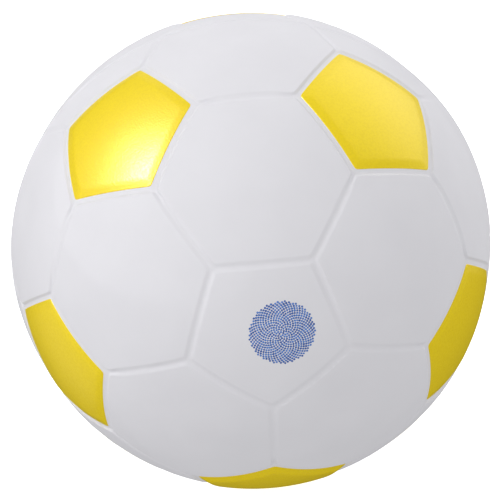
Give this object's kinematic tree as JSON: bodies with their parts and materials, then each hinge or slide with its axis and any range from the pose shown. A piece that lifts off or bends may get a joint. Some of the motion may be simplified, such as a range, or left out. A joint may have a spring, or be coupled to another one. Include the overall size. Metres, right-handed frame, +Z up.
{
  "type": "stress ball",
  "caption": "Round foam stress ball with the raised pentagon and hexagon panels of a football, yellow paint on the pentagons and a small blue dotted print on one white pentagon.",
  "frame": {"origin": "centre of the ball", "axes": "the printed pentagon faces -Y with one of its sides on top; +Z is up; the two skin halves meet in the plane y = 0, square to the squeeze axis Y"},
  "size_m": [0.063, 0.063, 0.063],
  "materials": {
    "foam": "matte",
    "white_skin": "satin",
    "yellow_paint": "satin",
    "blue_ink": "matte"
  },
  "bodies": {
    "rear_half": {"foam_core": "foam", "rear_skin": "white_skin", "rear_centre_yellow_paint": "yellow_paint", "rear_top_yellow_paint": "yellow_paint", "rear_left_yellow_paint": "yellow_paint", "rear_lower_left_yellow_paint": "yellow_paint", "rear_lower_right_yellow_paint": "yellow_paint", "rear_right_yellow_paint": "yellow_paint"},
    "front_half": {"front_skin": "white_skin", "front_bottom_yellow_paint": "yellow_paint", "front_right_yellow_paint": "yellow_paint", "front_upper_right_yellow_paint": "yellow_paint", "front_upper_left_yellow_paint": "yellow_paint", "front_left_yellow_paint": "yellow_paint", "front_print_ink": "blue_ink"}
  },
  "joints": [
    {"name": "squeeze", "type": "slide", "parent": "rear_half", "child": "front_half", "axis": [0, 1, 0], "range_m": [0, 0.018], "stiffness_N_per_m": 1700, "deforming": ["foam_core", "rear_skin", "rear_centre_yellow_paint", "rear_top_yellow_paint", "rear_left_yellow_paint", "rear_lower_left_yellow_paint", "rear_lower_right_yellow_paint", "rear_right_yellow_paint", "front_skin", "front_bottom_yellow_paint", "front_right_yellow_paint", "front_upper_right_yellow_paint", "front_upper_left_yellow_paint", "front_left_yellow_paint", "front_print_ink"]}
  ]
}
